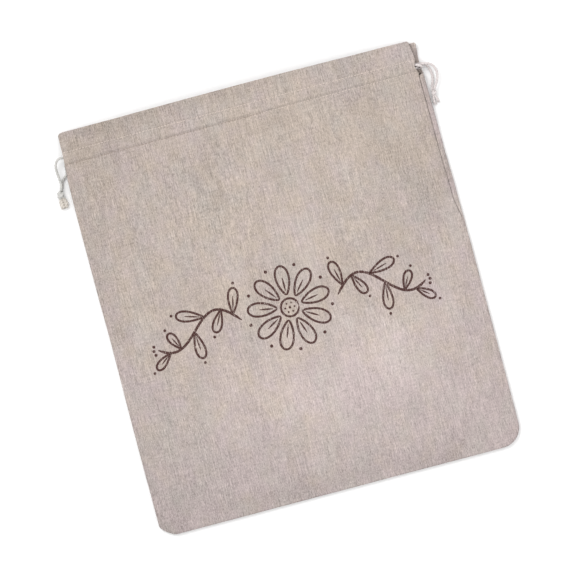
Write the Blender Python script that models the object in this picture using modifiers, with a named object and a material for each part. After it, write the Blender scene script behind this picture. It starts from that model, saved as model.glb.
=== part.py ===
"""Drawstring bread bag of linen cloth, lying on its back with the mouth a little open.

X runs across the bag, +Y points to the mouth and +Z up. The bag lies on z = 0 with the origin under its middle.
The front and the back panel are two sheets that meet along the sides and the bottom. At the mouth each sheet is
turned in and stitched twice, which leaves a header at the edge and a tunnel for the two cords below it.
"""

import math
from collections import namedtuple

import bmesh
import bpy
from mathutils import Vector

MM = 0.001

# Driving sizes
HALF_WIDTH = 178.0 * MM
HALF_LENGTH = 199.0 * MM
CLOTH = 1.1 * MM
LAYER_GAP = 0.3 * MM
SEAM_GAP = 0.8 * MM
SEAM_GAP_TOP = 1.2 * MM
HEADER = 19.2 * MM
TUNNEL = 13.3 * MM
HEM_END = 37.0 * MM
CORD = 2.4 * MM
CORD_GAP = 0.5 * MM
LOFT = 14.0 * MM
MOUTH_RISE = 5.2 * MM
CASING_GAP = 0.5 * MM

# Heights of a layer's middle, worked out from the sizes above
HALF_CLOTH = CLOTH / 2
PRESSED = CLOTH + LAYER_GAP
TUNNEL_RISE = CLOTH + CORD + 2 * CORD_GAP
CASING = TUNNEL_RISE + CLOTH
FRONT_BASE = CASING + CASING_GAP
BACK_CORD_Z = CLOTH + CORD_GAP + CORD / 2
FRONT_CORD_Z = FRONT_BASE + BACK_CORD_Z

# The rolled side and bottom edges
EDGE_TOP = 4.2 * MM
NECK_TOP = FRONT_BASE + HALF_CLOTH + PRESSED
NECK_CROWN = NECK_TOP + MOUTH_RISE
NECK_FROM = 95.0 * MM
NECK_TO = 160.0 * MM
LEFT_EDGE_LIFT = 3.5 * MM
LIFT_FROM = 112.0 * MM
LIFT_TO = 152.0 * MM
LIFT_RAMP = 9.0 * MM
ROLL_DEPTH_SHARE = 0.85
ROLL_DEPTH_MOST = 2.6 * MM
PILLOW_POWER = 3.2
PILLOW_MIDDLE = -10.0 * MM
ROOT = 16.0 * MM
OPEN_FROM = 156.0 * MM
OPEN_TO = 165.5 * MM

# The back sheet comes round the right edge and its seam lies on the front
SEAM_INSET = 4.6 * MM
INSET_FROM = 4.0 * MM
INSET_TO = 48.0 * MM

# Grid of each sheet
EDGE_STEPS = 6
MIDDLE_STEPS = 14
BODY_STEPS = 12
ROLL_WEIGHT = 2.0

# Left and right outline of the lying bag, from bottom to mouth
Outline = namedtuple("Outline", "along left right")
OUTLINE = (
    Outline(-199.0 * MM, -177.6 * MM, 177.9 * MM),
    Outline(-60.0 * MM, -178.0 * MM, 178.0 * MM),
    Outline(50.0 * MM, -177.9 * MM, 177.6 * MM),
    Outline(125.0 * MM, -177.6 * MM, 176.2 * MM),
    Outline(150.0 * MM, -177.2 * MM, 175.7 * MM),
    Outline(163.0 * MM, -176.3 * MM, 175.2 * MM),
    Outline(174.5 * MM, -175.1 * MM, 174.6 * MM),
    Outline(188.0 * MM, -176.9 * MM, 175.1 * MM),
    Outline(199.0 * MM, -177.2 * MM, 175.3 * MM),
)

# Side edges of the open tunnels and headers where a sheet stops short of the outline
Edge = namedtuple("Edge", "along across")
FRONT_RIGHT = (Edge(150.0 * MM, 170.4 * MM), Edge(174.5 * MM, 170.4 * MM), Edge(199.0 * MM, 168.9 * MM))
BACK_LEFT = (Edge(150.0 * MM, -171.8 * MM), Edge(199.0 * MM, -171.8 * MM))

# Rounded corners: reach along X and Y, and the power of the curve (2 is round, towards 1 is a cut corner)
Corner = namedtuple("Corner", "across along power")
BOTTOM_LEFT = Corner(13.5 * MM, 10.0 * MM, 1.35)
BOTTOM_RIGHT = Corner(18.0 * MM, 18.0 * MM, 2.0)
HEADER_CORNER = 4.0 * MM
BACK_CORNER = 1.5 * MM

# The back's mouth edge lies a little lower than the front's, most at the right
BACK_SHORT_LEFT = 1.0 * MM
BACK_SHORT_RIGHT = 4.4 * MM

# Rows of the turned mouth, from the lower stitching to the fold: distance from the fold, height of the raised
# layer over the flat one, and how far the turned-in layer's side edges stand back
MouthRow = namedtuple("MouthRow", "place down rise inset")
MOUTH_ROWS = (
    MouthRow("lower stitching", HEADER + TUNNEL, PRESSED, 9.0 * MM),
    MouthRow("tunnel wall", HEADER + TUNNEL - 1.8 * MM, 3.0 * MM, 8.5 * MM),
    MouthRow("tunnel top", HEADER + TUNNEL - 3.4 * MM, TUNNEL_RISE, 8.0 * MM),
    MouthRow("tunnel top", HEADER + 3.0 * MM, TUNNEL_RISE, 8.0 * MM),
    MouthRow("tunnel wall", HEADER + 1.5 * MM, 3.0 * MM, 6.0 * MM),
    MouthRow("upper stitching", HEADER, PRESSED, 3.0 * MM),
    MouthRow("header", 10.0 * MM, 1.8 * MM, 0.6 * MM),
    MouthRow("header edge", 2.6 * MM, PRESSED, 0.2 * MM),
)
FLAT_PLACES = ("lower stitching", "tunnel top", "upper stitching", "header", "header edge")
FOLD_ANGLES = (60, 20, -20, -60)
HEADER_DROP_SIDE = 2.2 * MM
HEADER_DROP_MIDDLE = 0.2 * MM

# Lanes of the two cords in each tunnel
UPPER_LANE = HALF_LENGTH - HEADER - TUNNEL / 2 + 2.0 * MM
LOWER_LANE = HALF_LENGTH - HEADER - TUNNEL / 2 - 2.0 * MM

# The cords' free ends outside the tunnels: points from the knot to the tunnel's mouth
LEFT_OVER = (
    (-185.45, 144.25, 4.55),
    (-183.9, 148.8, 4.4),
    (-183.9, 153.4, 4.7),
    (-184.3, 158.4, 5.4),
    (-184.6, 163.4, 6.3),
    (-184.1, 168.6, 7.4),
    (-182.0, 172.7, 8.2),
    (-178.4, 174.9, 8.6),
    (-172.0, 175.15, 8.64),
)
LEFT_UNDER = (
    (-183.75, 144.0, 1.95),
    (-182.3, 148.0, 1.55),
    (-181.2, 151.6, 1.5),
    (-179.4, 154.4, 1.5),
    (-177.0, 157.3, 1.5),
    (-175.9, 160.4, 1.5),
    (-175.5, 164.0, 1.55),
    (-175.1, 167.3, 2.0),
    (-173.4, 170.1, 2.6),
    (-169.6, 171.15, 2.72),
)
RIGHT_OVER = (
    (181.0, 146.75, 4.5),
    (183.1, 149.7, 4.4),
    (185.3, 153.4, 4.7),
    (186.9, 158.2, 5.3),
    (187.0, 163.2, 6.0),
    (185.3, 167.9, 6.8),
    (181.6, 170.8, 7.8),
    (177.3, 171.3, 8.45),
    (171.0, 171.15, 8.64),
)
RIGHT_UNDER = (
    (179.95, 146.6, 1.95),
    (181.2, 150.8, 1.5),
    (182.2, 154.8, 1.5),
    (182.8, 159.2, 1.5),
    (182.5, 163.8, 1.5),
    (181.4, 168.2, 1.6),
    (179.6, 172.0, 2.1),
    (177.5, 174.3, 2.6),
    (173.0, 175.15, 2.72),
)
TURN_ANGLES = (0, 30, 60, 90, 120, 150, 180)
RIGHT_TURN = 171.6 * MM
LEFT_TURN = -169.4 * MM
TUNNEL_POINTS = (-167, -158, -139.5, -110, -72, -36, 0, 36, 72, 110, 139.5, 158, 167)
CORD_STEP = 5.2 * MM
TUNNEL_STEP = 18.0 * MM
CORD_SIDES = 2

# Each knot: its middle, the way its strands enter, and its free tails as points with a thickness
Knot = namedtuple("Knot", "side middle heading tails")
KNOTS = (
    Knot(
        "left",
        (-186.9, 141.1, 3.5),
        62,
        (
            ((-187.6, 139.6, 2.4, 1.15), (-189.0, 135.6, 1.7, 1.25), (-189.7, 131.2, 1.55, 1.35), (-188.4, 127.2, 1.6, 1.5)),
            ((-185.6, 139.4, 2.6, 1.1), (-183.0, 135.4, 1.8, 1.25), (-182.2, 131.6, 1.6, 1.35), (-184.4, 128.4, 1.65, 1.5)),
        ),
    ),
    Knot(
        "right",
        (180.0, 143.2, 3.5),
        58,
        (
            ((179.8, 141.6, 2.5, 1.1), (181.0, 138.4, 1.8, 1.15), (181.9, 135.4, 1.5, 1.25), (182.2, 132.9, 1.45, 1.35)),
            ((179.0, 141.2, 2.3, 1.1), (178.2, 137.4, 1.6, 1.15), (178.0, 133.6, 1.45, 1.25), (178.3, 130.4, 1.45, 1.4)),
        ),
    ),
)
KNOT_CORE = (3.1 * MM, 2.7 * MM, 2.6 * MM)
KNOT_TURNS = ((2.15 * MM, 12, 68), (2.2 * MM, -38, 100))
KNOT_STRAND = 1.2 * MM

# Soft swells of the front cloth: middle, reach and height
Swell = namedtuple("Swell", "across along reach_x reach_y height")
SWELLS = (
    Swell(-35.0 * MM, -92.0 * MM, 90.0 * MM, 70.0 * MM, 0.9 * MM),
    Swell(88.0 * MM, -78.0 * MM, 75.0 * MM, 60.0 * MM, 0.8 * MM),
    Swell(-105.0 * MM, 40.0 * MM, 70.0 * MM, 90.0 * MM, -0.8 * MM),
    Swell(30.0 * MM, 105.0 * MM, 60.0 * MM, 55.0 * MM, 0.7 * MM),
    Swell(115.0 * MM, 75.0 * MM, 60.0 * MM, 70.0 * MM, -0.9 * MM),
)

FRONT = 1
BACK = -1


def smooth(value, start, stop):
    share = min(1.0, max(0.0, (value - start) / (stop - start)))
    return share * share * (3 - 2 * share)


def mix(a, b, share):
    return a + (b - a) * share


def read_table(rows, along, column):
    """A column of a table at a place along the bag, eased between the rows."""
    if along <= rows[0].along:
        return getattr(rows[0], column)
    for low, high in zip(rows, rows[1:]):
        if along <= high.along:
            share = smooth(along, low.along, high.along)
            return mix(getattr(low, column), getattr(high, column), share)
    return getattr(rows[-1], column)


def outline(side, along):
    """The middle of the cloth at the bag's outermost line."""
    if side < 0:
        return read_table(OUTLINE, along, "left") + HALF_CLOTH
    return read_table(OUTLINE, along, "right") - HALF_CLOTH


def flat_edge(panel, side, along):
    """The side edge of a sheet where its tunnel and header are open."""
    if panel == FRONT and side > 0:
        return read_table(FRONT_RIGHT, along, "across")
    if panel == BACK and side < 0:
        return read_table(BACK_LEFT, along, "across")
    return outline(side, along)


def edge_heights(side, along):
    """Height of the rolled edge's lowest and highest line."""
    lift = smooth(along, LIFT_FROM, LIFT_TO) * LEFT_EDGE_LIFT if side < 0 else 0.0
    top = mix(EDGE_TOP, NECK_TOP, smooth(along, NECK_FROM, NECK_TO))
    return HALF_CLOTH + lift, top


def roll_size(side, along):
    """Depth of the rolled edge and the length of a quarter of its turn."""
    low, top = edge_heights(side, along)
    half_height = (top - low) / 2
    depth = min(ROLL_DEPTH_MOST, half_height * ROLL_DEPTH_SHARE)
    return depth, math.pi / 2 * math.sqrt((depth * depth + half_height * half_height) / 2)


def roll_point(step, depth, quarter):
    """Distance inwards and height share (-1 to 1) at a length along the rolled edge, 0 being its outermost line."""
    turn = min(1.0, max(-1.0, step / quarter)) * math.pi / 2
    return depth * (1 - math.cos(turn)) + max(0.0, abs(step) - quarter), math.sin(turn)


def seam_place(side, along):
    """Where the seam lies along the rolled edge: at the outermost line, or over it on the front."""
    if side < 0:
        return 0.0
    depth, quarter = roll_size(side, along)
    over = quarter + SEAM_INSET - depth
    return over * smooth(along, INSET_FROM, INSET_TO)


def seam_gap(along):
    """The seam eases open just below the tunnel."""
    return mix(SEAM_GAP, SEAM_GAP_TOP, smooth(along, NECK_TO - ROOT, OPEN_FROM))


def edge_steps(panel, seam, gap, depth, quarter):
    """Lengths along the rolled edge of a sheet's columns or rows, from its seam inwards, closer on the turn."""
    root = panel * (quarter + ROOT - depth)
    start = seam + panel * gap / 2

    def weigh(step):
        return step + ROLL_WEIGHT * min(quarter, max(-quarter, step))

    def unweigh(weight):
        turned = quarter * (1 + ROLL_WEIGHT)
        if abs(weight) <= turned:
            return weight / (1 + ROLL_WEIGHT)
        return weight - math.copysign(ROLL_WEIGHT * quarter, weight)

    low, high = weigh(start), weigh(root)
    return [unweigh(mix(low, high, step / EDGE_STEPS)) for step in range(EDGE_STEPS + 1)]


def crown_share(across, along):
    """1 over the middle of the bag and 0 at its edges."""
    side = 1 if across > 0 else -1
    reach = abs(outline(side, along)) - roll_size(side, along)[0]
    over = max(0.0, 1 - (abs(across) / reach) ** PILLOW_POWER)
    bottom = HALF_LENGTH - HALF_CLOTH - roll_size(1, -HALF_LENGTH)[0]
    down = max(0.0, (PILLOW_MIDDLE - along) / (PILLOW_MIDDLE + bottom))
    return over * max(0.0, 1 - down**PILLOW_POWER)


def swell(across, along):
    total = 0.0
    for hill in SWELLS:
        far = ((across - hill.across) / hill.reach_x) ** 2 + ((along - hill.along) / hill.reach_y) ** 2
        total += hill.height * math.exp(-2 * far)
    return total


def top_height(across, along):
    side = 1 if across > 0 else -1
    edge = edge_heights(side, along)[1]
    crown = mix(LOFT, NECK_CROWN, smooth(along, NECK_FROM, NECK_TO))
    share = crown_share(across, along)
    soft = swell(across, along) * (1 - smooth(along, NECK_FROM, NECK_TO))
    return edge + (crown - edge + soft) * share


def bottom_height(side, inwards, along):
    low = edge_heights(side, along)[0]
    return mix(low, HALF_CLOTH, smooth(inwards, 0.35 * LIFT_RAMP, LIFT_RAMP))


def round_corner(side, inwards, up):
    """Moves a point near a bottom corner so that the corner's outline is rounded."""
    corner = BOTTOM_LEFT if side < 0 else BOTTOM_RIGHT
    p = 1 - inwards / corner.across
    q = 1 - up / corner.along
    if p <= 0 or q <= 0:
        return inwards, up
    pull = max(p, q) / (p**corner.power + q**corner.power) ** (1 / corner.power)
    return corner.across * (1 - p * pull), corner.along * (1 - q * pull)


def body_points(panel, up, up_share):
    """The columns of a row of the single layer, the distance up from the bottom edge and that row's height share."""
    along = up + HALF_CLOTH - HALF_LENGTH
    sides = {}
    for side in (-1, 1):
        depth, quarter = roll_size(side, along)
        steps = edge_steps(panel, seam_place(side, along), seam_gap(along), depth, quarter)
        opened = smooth(along, OPEN_FROM, OPEN_TO)
        points = []
        for number, step in enumerate(steps):
            inwards, share = roll_point(step, depth, quarter)
            if up_share is not None:
                share = min(share, up_share) if panel == FRONT else max(share, up_share)
            inner, rise = round_corner(side, inwards, up)
            across = outline(side, along) - side * inner
            y = rise + HALF_CLOTH - HALF_LENGTH
            low, high = bottom_height(side, inwards, along), top_height(across, y)
            z = mix(low, high, (share + 1) / 2)
            if opened:
                root = outline(side, along) - side * ROOT
                flat_x = mix(flat_edge(panel, side, along), root, number / EDGE_STEPS)
                flat_z = top_height(flat_x, along) if panel == FRONT else HALF_CLOTH
                across, z = mix(across, flat_x, opened), mix(z, flat_z, opened)
            points.append((across, y, z))
        sides[side] = points
    left, right = sides[-1], sides[1]
    middle = []
    for step in range(1, MIDDLE_STEPS):
        across = mix(outline(-1, along) + ROOT, outline(1, along) - ROOT, step / MIDDLE_STEPS)
        side = 1 if across > 0 else -1
        inner, rise = round_corner(side, abs(outline(side, along) - across), up)
        across = outline(side, along) - side * inner
        y = rise + HALF_CLOTH - HALF_LENGTH
        high = top_height(across, y)
        share = (1 if panel == FRONT else -1) if up_share is None else up_share
        middle.append((across, y, mix(HALF_CLOTH, high, (share + 1) / 2)))
    return left + middle + right[::-1]


def mouth_line(panel, across):
    """The mouth edge of a sheet, with its rounded ends."""
    line = HALF_LENGTH
    corner = HEADER_CORNER
    if panel == BACK:
        line -= mix(BACK_SHORT_LEFT, BACK_SHORT_RIGHT, (across / HALF_WIDTH + 1) / 2)
        corner = BACK_CORNER
    for side in (-1, 1):
        reach = corner - abs(flat_edge(panel, side, HALF_LENGTH) - across)
        if reach > 0 and across * side > 0:
            line -= corner - math.sqrt(max(0.0, corner * corner - reach * reach))
    return line


def stack_height(panel, across, down):
    """Height under the lower layer of a turned mouth."""
    if panel == BACK:
        return 0.0
    along = HALF_LENGTH - HEADER - TUNNEL
    share = crown_share(across, along)
    drop = mix(HEADER_DROP_SIDE, HEADER_DROP_MIDDLE, share) * (1 - smooth(down, 0, HEADER))
    return FRONT_BASE + MOUTH_RISE * share - drop


def mouth_points(panel, down, height, inset):
    """The columns of a row of the turned mouth at a distance below the fold and a height over the stack's base."""
    along = HALF_LENGTH - down
    edges = {}
    for side in (-1, 1):
        edge = flat_edge(panel, side, along) - side * inset
        root = outline(side, along) - side * ROOT
        edges[side] = [mix(edge, root, step / EDGE_STEPS) for step in range(EDGE_STEPS + 1)]
    left, right = edges[-1], edges[1]
    middle = [mix(left[-1], right[-1], step / MIDDLE_STEPS) for step in range(1, MIDDLE_STEPS)]
    points = []
    for across in left + middle + right[::-1]:
        short = (HALF_LENGTH - mouth_line(panel, across)) * max(0.0, 1 - down / HEADER)
        points.append((across, along - short, stack_height(panel, across, down) + height))
    return points


def body_rows(panel):
    """Rows of the single layer, from the bottom seam to just below the lower stitching."""
    depth, quarter = roll_size(1, -HALF_LENGTH)
    rows = []
    for step in edge_steps(panel, 0.0, SEAM_GAP, depth, quarter):
        up, share = roll_point(step, depth, quarter)
        rows.append(body_points(panel, up, share))
    top = OPEN_FROM - 8 * MM + HALF_LENGTH
    for step in range(1, BODY_STEPS + 1):
        rows.append(body_points(panel, mix(ROOT, top, step / BODY_STEPS), None))
    for along in (OPEN_FROM, mix(OPEN_FROM, OPEN_TO, 0.4), mix(OPEN_FROM, OPEN_TO, 0.75)):
        rows.append(body_points(panel, along - HALF_CLOTH + HALF_LENGTH, None))
    return rows


def mouth_rows(panel):
    """Rows up the outer layer, round the fold and down the turned-in layer to its raw edge."""
    raised = [(row.down, HALF_CLOTH + row.rise, row.inset) for row in MOUTH_ROWS]
    flat = [(row.down, HALF_CLOTH, row.inset) for row in MOUTH_ROWS if row.place in FLAT_PLACES]
    outer, inner = (raised, flat) if panel == FRONT else (flat, raised)
    radius = PRESSED / 2
    rows = [mouth_points(panel, down, height, 0.0) for down, height, _ in outer]
    for angle in FOLD_ANGLES:
        turn = math.radians(angle) * panel
        down = HALF_CLOTH + radius * (1 - math.cos(turn))
        height = HALF_CLOTH + radius * (1 + math.sin(turn))
        rows.append(mouth_points(panel, down, height, 0.0))
    rows += [mouth_points(panel, down, height, inset) for down, height, inset in reversed(inner)]
    end_height, end_inset = inner[0][1], inner[0][2] + 1.5 * MM
    rows.append(mouth_points(panel, HEM_END, end_height, end_inset))
    return rows


def cloth_panel(name, panel, material, collection):
    """A grid whose points follow the sheet, given its thickness by Solidify."""
    rows = body_rows(panel) + mouth_rows(panel)
    columns = len(rows[0])
    mesh = bpy.data.meshes.new(name)
    grid = bmesh.new()
    bmesh.ops.create_grid(grid, x_segments=columns - 1, y_segments=len(rows) - 1, size=1)
    grid.verts.ensure_lookup_table()
    for number, vert in enumerate(grid.verts):
        row, column = divmod(number, columns)
        vert.co = rows[row][column]
    if panel == BACK:
        bmesh.ops.reverse_faces(grid, faces=grid.faces)
    grid.to_mesh(mesh)
    grid.free()
    mesh.shade_smooth()
    obj = bpy.data.objects.new(name, mesh)
    obj.data.materials.append(material)
    collection.objects.link(obj)
    thick = obj.modifiers.new("Cloth", "SOLIDIFY")
    thick.thickness = CLOTH
    thick.offset = 0
    thick.use_even_offset = True
    return obj


def smooth_route(points):
    """Points along a smooth curve through a route's own points, closer together outside the tunnels."""
    route = [Vector(point) for point in points]
    ends = [2 * route[0] - route[1]] + route + [2 * route[-1] - route[-2]]
    result = [route[0]]
    for before, start, stop, after in zip(ends, ends[1:], ends[2:], ends[3:]):
        length = (stop - start).length
        pieces = max(1, round(length / (TUNNEL_STEP if length > TUNNEL_STEP else CORD_STEP)))
        for piece in range(1, pieces + 1):
            t = piece / pieces
            bend = start - before, stop - start, after - stop
            slope_in = (bend[0] / bend[0].length + bend[1] / length) * length / 2
            slope_out = (bend[1] / length + bend[2] / bend[2].length) * length / 2
            result.append(
                start * (2 * t**3 - 3 * t**2 + 1)
                + slope_in * (t**3 - 2 * t**2 + t)
                + stop * (3 * t**2 - 2 * t**3)
                + slope_out * (t**3 - t**2)
            )
    return result


def tunnel_height(panel, across):
    """Height of a cord's middle in the tunnel of a panel."""
    return stack_height(panel, across, HEADER + TUNNEL / 2) + BACK_CORD_Z


def turn_round(side, middle, front_lane, back_lane):
    """The half turn outside the tunnels' mouths, from the front tunnel down to the back one."""
    lanes = Vector((0, front_lane - back_lane, FRONT_CORD_Z - BACK_CORD_Z)) / 2
    centre = Vector((middle, (front_lane + back_lane) / 2, (FRONT_CORD_Z + BACK_CORD_Z) / 2))
    points = []
    for angle in TURN_ANGLES:
        turn = math.radians(angle)
        out = Vector((side * lanes.length * math.sin(turn), 0, 0))
        points.append(tuple(centre + lanes * math.cos(turn) + out))
    return points


def cord_route(side, over, under, turn, front_lane, back_lane):
    """From the knot over the edge into the front tunnel, round the far side and back through the back tunnel."""
    across = [place * MM * -side for place in TUNNEL_POINTS]
    start = [tuple(value * MM for value in point) for point in over]
    end = [tuple(value * MM for value in point) for point in reversed(under)]
    front = [(x, front_lane, tunnel_height(FRONT, x)) for x in across]
    back = [(x, back_lane, tunnel_height(BACK, x)) for x in reversed(across)]
    return start + front + turn_round(-side, turn, front_lane, back_lane) + back + end


def tube(name, points, material, collection, radii=None):
    """A round cord along points, with closed ends."""
    curve = bpy.data.curves.new(name, "CURVE")
    curve.dimensions = "3D"
    curve.bevel_depth = CORD / 2
    curve.bevel_resolution = CORD_SIDES
    curve.use_fill_caps = True
    spline = curve.splines.new("POLY")
    spline.points.add(len(points) - 1)
    for number, point in enumerate(points):
        spline.points[number].co = (*point, 1)
        if radii:
            spline.points[number].radius = radii[number] / (CORD / 2)
    obj = bpy.data.objects.new(name, curve)
    obj.data.materials.append(material)
    collection.objects.link(obj)
    return obj


def as_mesh(obj):
    """The object as a closed mesh, so that it can be joined to another."""
    graph = bpy.context.evaluated_depsgraph_get()
    mesh = bpy.data.meshes.new_from_object(obj.evaluated_get(graph))
    closed = bmesh.new()
    closed.from_mesh(mesh)
    bmesh.ops.remove_doubles(closed, verts=closed.verts, dist=0.00001)
    closed.to_mesh(mesh)
    closed.free()
    solid = bpy.data.objects.new(obj.name + "_solid", mesh)
    solid.matrix_world = obj.matrix_world
    for collection in obj.users_collection:
        collection.objects.link(solid)
    bpy.data.objects.remove(obj)
    return solid


def tie_knot(knot, material, collection, helpers):
    """An overhand knot: a core, two turns of cord round it and the two free tails, joined into one solid."""
    middle = Vector(knot.middle) * MM
    bpy.ops.mesh.primitive_uv_sphere_add(segments=16, ring_count=10, radius=1, location=middle)
    core = bpy.context.object
    core.name = "knot_" + knot.side
    core.scale = KNOT_CORE
    core.rotation_euler = (0, 0, math.radians(knot.heading))
    parts = []
    for radius, lean, heading in KNOT_TURNS:
        bpy.ops.mesh.primitive_torus_add(
            location=middle,
            rotation=(0, math.radians(heading), math.radians(knot.heading + lean)),
            major_segments=18,
            minor_segments=8,
            major_radius=radius,
            minor_radius=KNOT_STRAND,
        )
        parts.append(bpy.context.object)
    for number, tail in enumerate(knot.tails):
        points = [tuple(value * MM for value in point[:3]) for point in tail]
        route = smooth_route(points)
        widths = [point[3] * MM for point in tail]
        radii = [widths[min(len(widths) - 1, place * len(widths) // len(route))] for place in range(len(route))]
        tail_tube = tube(f"{core.name}_tail_{number}", route, material, helpers, radii)
        bpy.context.view_layer.update()
        parts.append(as_mesh(tail_tube))
    bpy.context.view_layer.update()
    core.data.materials.append(material)
    for obj in [core] + parts:
        for holder in list(obj.users_collection):
            holder.objects.unlink(obj)
    collection.objects.link(core)
    for part in parts:
        helpers.objects.link(part)
        part.hide_render = True
        part.display_type = "WIRE"
        join = core.modifiers.new(part.name, "BOOLEAN")
        join.operation = "UNION"
        join.object = part
    core.data.shade_smooth()
    return core


def make_material(name, colour, roughness):
    material = bpy.data.materials.new(name)
    material.use_nodes = True
    shader = material.node_tree.nodes["Principled BSDF"]
    shader.inputs["Base Color"].default_value = (*colour, 1)
    shader.inputs["Roughness"].default_value = roughness
    shader.inputs["Metallic"].default_value = 0
    return material


def clear_scene():
    for obj in list(bpy.data.objects):
        bpy.data.objects.remove(obj)


def main():
    clear_scene()
    bag = bpy.data.collections.new("linen_bread_bag")
    bpy.context.scene.collection.children.link(bag)
    helpers = bpy.data.collections.new("knot_pieces")
    bpy.context.scene.collection.children.link(helpers)
    linen = make_material("linen", (0.55, 0.47, 0.42), 0.9)
    cotton = make_material("cotton_cord", (0.80, 0.76, 0.70), 0.85)
    cloth_panel("front_panel", FRONT, linen, bag)
    cloth_panel("back_panel", BACK, linen, bag)
    left = cord_route(-1, LEFT_OVER, LEFT_UNDER, RIGHT_TURN, UPPER_LANE, LOWER_LANE)
    tube("drawcord_left", smooth_route(left), cotton, bag)
    right = cord_route(1, RIGHT_OVER, RIGHT_UNDER, LEFT_TURN, LOWER_LANE, UPPER_LANE)
    tube("drawcord_right", smooth_route(right), cotton, bag)
    for knot in KNOTS:
        tie_knot(knot, cotton, bag, helpers)


main()
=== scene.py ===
"""Detailed scene of a linen drawstring bread bag lying flat, in the same frame as its CAD model.

X runs across the bag, +Y points to the mouth and +Z up. Each cloth sheet repeats the CAD sheet's shape on a finer grid
and adds the soft unevenness of laid cloth, the turned seams, the stitching, the print and the twisted cords.
"""

import math
from collections import namedtuple

import bmesh
import bpy
from mathutils import Matrix, Vector, noise
from mathutils.bvhtree import BVHTree

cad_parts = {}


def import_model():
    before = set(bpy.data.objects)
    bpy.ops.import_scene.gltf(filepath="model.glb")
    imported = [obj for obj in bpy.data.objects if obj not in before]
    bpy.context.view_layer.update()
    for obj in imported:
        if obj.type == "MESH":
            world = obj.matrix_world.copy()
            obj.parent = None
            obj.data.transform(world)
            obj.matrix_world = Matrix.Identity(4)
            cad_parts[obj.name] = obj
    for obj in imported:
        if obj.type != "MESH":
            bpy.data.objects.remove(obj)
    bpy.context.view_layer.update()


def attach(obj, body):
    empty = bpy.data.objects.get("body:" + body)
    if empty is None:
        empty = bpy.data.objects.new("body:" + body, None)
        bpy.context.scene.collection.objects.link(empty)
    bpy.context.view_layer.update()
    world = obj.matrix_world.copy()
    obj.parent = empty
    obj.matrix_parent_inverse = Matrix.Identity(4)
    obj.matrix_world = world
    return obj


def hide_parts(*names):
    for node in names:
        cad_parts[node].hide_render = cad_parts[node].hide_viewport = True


MM = 0.001

# Sizes shared with the CAD model
HALF_WIDTH = 178.0 * MM
HALF_LENGTH = 199.0 * MM
CLOTH = 1.1 * MM
LAYER_GAP = 0.3 * MM
HEADER = 19.2 * MM
TUNNEL = 13.3 * MM
HEM_END = 37.0 * MM
CORD = 2.4 * MM
CORD_GAP = 0.5 * MM
LOFT = 14.0 * MM
MOUTH_RISE = 5.2 * MM
CASING_GAP = 0.5 * MM
HALF_CLOTH = CLOTH / 2
PRESSED = CLOTH + LAYER_GAP
TUNNEL_RISE = CLOTH + CORD + 2 * CORD_GAP
FRONT_BASE = TUNNEL_RISE + CLOTH + CASING_GAP
BACK_CORD_Z = CLOTH + CORD_GAP + CORD / 2
FRONT_CORD_Z = FRONT_BASE + BACK_CORD_Z
EDGE_TOP = 4.2 * MM
NECK_TOP = FRONT_BASE + HALF_CLOTH + PRESSED
NECK_CROWN = NECK_TOP + MOUTH_RISE
NECK_FROM = 95.0 * MM
NECK_TO = 160.0 * MM
LEFT_EDGE_LIFT = 3.5 * MM
LIFT_FROM = 112.0 * MM
LIFT_TO = 152.0 * MM
LIFT_RAMP = 9.0 * MM
ROLL_DEPTH_SHARE = 0.85
ROLL_DEPTH_MOST = 2.6 * MM
PILLOW_POWER = 3.2
PILLOW_MIDDLE = -10.0 * MM
ROOT = 16.0 * MM
OPEN_FROM = 162.0 * MM
OPEN_TO = 166.2 * MM
SEAM_INSET = 4.6 * MM
INSET_FROM = 4.0 * MM
INSET_TO = 48.0 * MM
BACK_CORNER = 1.5 * MM
BACK_SHORT_LEFT = 1.0 * MM
BACK_SHORT_RIGHT = 4.4 * MM
HEADER_DROP_MIDDLE = 0.2 * MM

# Sizes of the laid cloth that the CAD model leaves out
HEADER_CORNER = 2.6 * MM
HEADER_DROP_SIDE = 3.3 * MM
FRONT_SHORT_MIDDLE = 0.8 * MM
FRONT_SHORT_SIDE = 1.7 * MM
BACK_EDGE_LIFT = 4.2 * MM
BACK_LIFT_FROM = 167.5 * MM

# The finer grid of each sheet and its visible thickness
THICK = 0.8 * MM
EDGE_STEPS = 14
MIDDLE_STEPS = 130
BODY_STEPS = 120
OPEN_STEPS = 8
ROLL_WEIGHT = 2.0
MOUTH_STEP = 0.9 * MM
HEADER_STEP = 1.6 * MM
FOLD_STEPS = 8

Outline = namedtuple("Outline", "along left right")
OUTLINE = (
    Outline(-199.0 * MM, -177.5 * MM, 177.9 * MM),
    Outline(-100.0 * MM, -177.7 * MM, 178.0 * MM),
    Outline(-10.0 * MM, -177.2 * MM, 177.9 * MM),
    Outline(50.0 * MM, -177.6 * MM, 177.3 * MM),
    Outline(95.0 * MM, -177.7 * MM, 176.3 * MM),
    Outline(125.0 * MM, -177.6 * MM, 176.1 * MM),
    Outline(150.0 * MM, -177.2 * MM, 175.7 * MM),
    Outline(163.0 * MM, -176.3 * MM, 175.4 * MM),
    Outline(174.5 * MM, -175.6 * MM, 174.8 * MM),
    Outline(188.0 * MM, -175.6 * MM, 175.1 * MM),
    Outline(199.0 * MM, -175.1 * MM, 175.3 * MM),
)
Edge = namedtuple("Edge", "along across")
FRONT_RIGHT = (
    Edge(150.0 * MM, 170.4 * MM),
    Edge(165.0 * MM, 170.4 * MM),
    Edge(172.0 * MM, 168.4 * MM),
    Edge(179.0 * MM, 170.3 * MM),
    Edge(199.0 * MM, 168.9 * MM),
)
BACK_LEFT = (Edge(150.0 * MM, -171.8 * MM), Edge(199.0 * MM, -171.8 * MM))
Corner = namedtuple("Corner", "across along power")
BOTTOM_LEFT = Corner(14.5 * MM, 11.0 * MM, 1.35)
BOTTOM_RIGHT = Corner(19.5 * MM, 19.5 * MM, 2.0)

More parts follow.
